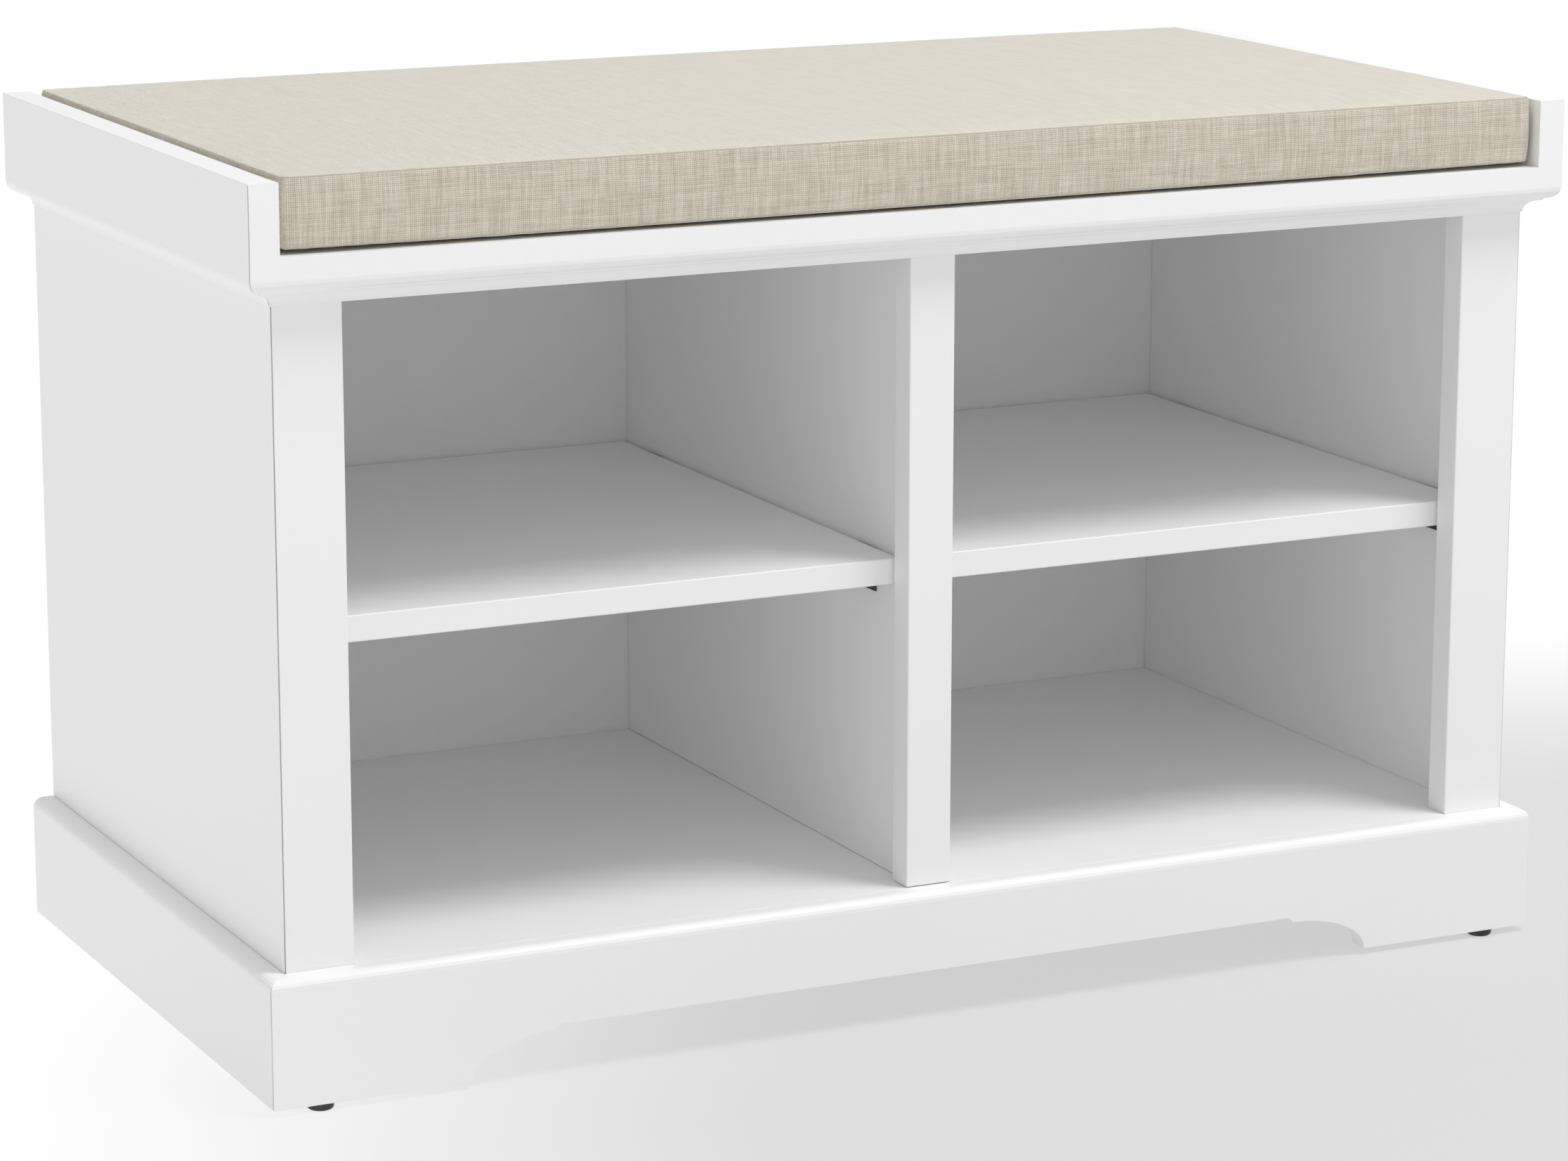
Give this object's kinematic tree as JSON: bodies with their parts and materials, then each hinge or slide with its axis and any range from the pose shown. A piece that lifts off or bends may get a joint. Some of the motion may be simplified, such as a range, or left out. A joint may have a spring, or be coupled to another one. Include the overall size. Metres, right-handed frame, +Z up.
{
  "type": "entryway bench",
  "caption": "White entryway storage bench with open cubbies, loose shelves, moulded bands, an arched base and a linen-look seat cushion between low arms.",
  "frame": {"origin": "on the floor under the middle of the bench's bounding box", "axes": "+X along the width to the right seen from the front, +Y from the open front to the back, +Z up"},
  "size_m": [0.812, 0.421, 0.512],
  "materials": {
    "white_paint": "satin white paint on board",
    "back_board": "thin white-faced hardboard",
    "cushion_fabric": "heathered linen-look weave, matte",
    "support_steel": "dark painted sheet steel",
    "glide_plastic": "black moulded plastic",
    "screw_steel": "zinc-plated steel"
  },
  "bodies": {
    "carcass": {"arm_board_left": "white_paint", "arm_board_right": "white_paint", "back_panel": "back_board", "base_board_left": "white_paint", "base_board_right": "white_paint", "base_front": "white_paint", "base_rear_rail": "white_paint", "bottom_panel": "white_paint", "centre_stile": "white_paint", "corner_block_front_left": "white_paint", "corner_block_front_right": "white_paint", "corner_block_rear_left": "white_paint", "corner_block_rear_right": "white_paint", "deck_screw_left_front": "screw_steel", "deck_screw_left_rear": "screw_steel", "deck_screw_middle_front": "screw_steel", "deck_screw_middle_rear": "screw_steel", "deck_screw_right_front": "screw_steel", "deck_screw_right_rear": "screw_steel", "divider_panel": "white_paint", "divider_screw_front": "screw_steel", "divider_screw_rear": "screw_steel", "floor_screw_left_front": "screw_steel", "floor_screw_left_rear": "screw_steel", "floor_screw_right_front": "screw_steel", "floor_screw_right_rear": "screw_steel", "front_rail": "white_paint", "glide_front_left": "glide_plastic", "glide_front_right": "glide_plastic", "glide_rear_left": "glide_plastic", "glide_rear_right": "glide_plastic", "seat_deck": "white_paint", "shelf_support_left_front_1": "support_steel", "shelf_support_left_front_2": "support_steel", "shelf_support_left_rear_1": "support_steel", "shelf_support_left_rear_2": "support_steel", "shelf_support_right_front_1": "support_steel", "shelf_support_right_front_2": "support_steel", "shelf_support_right_rear_1": "support_steel", "shelf_support_right_rear_2": "support_steel", "side_panel_left": "white_paint", "side_panel_right": "white_paint", "stile_left": "white_paint", "stile_right": "white_paint"},
    "cushion_pad": {"cushion": "cushion_fabric"},
    "left_shelf": {"shelf_left": "white_paint"},
    "right_shelf": {"shelf_right": "white_paint"}
  },
  "joints": [
    {"name": "cushion_lift", "type": "slide", "parent": "carcass", "child": "cushion_pad", "axis": [0, 0, 1], "range_m": [0, 0.15]},
    {"name": "shelf_left_lift", "type": "slide", "parent": "carcass", "child": "left_shelf", "axis": [0, 0, 1], "range_m": [0, 0.15]},
    {"name": "shelf_right_lift", "type": "slide", "parent": "carcass", "child": "right_shelf", "axis": [0, 0, 1], "range_m": [0, 0.15]}
  ]
}
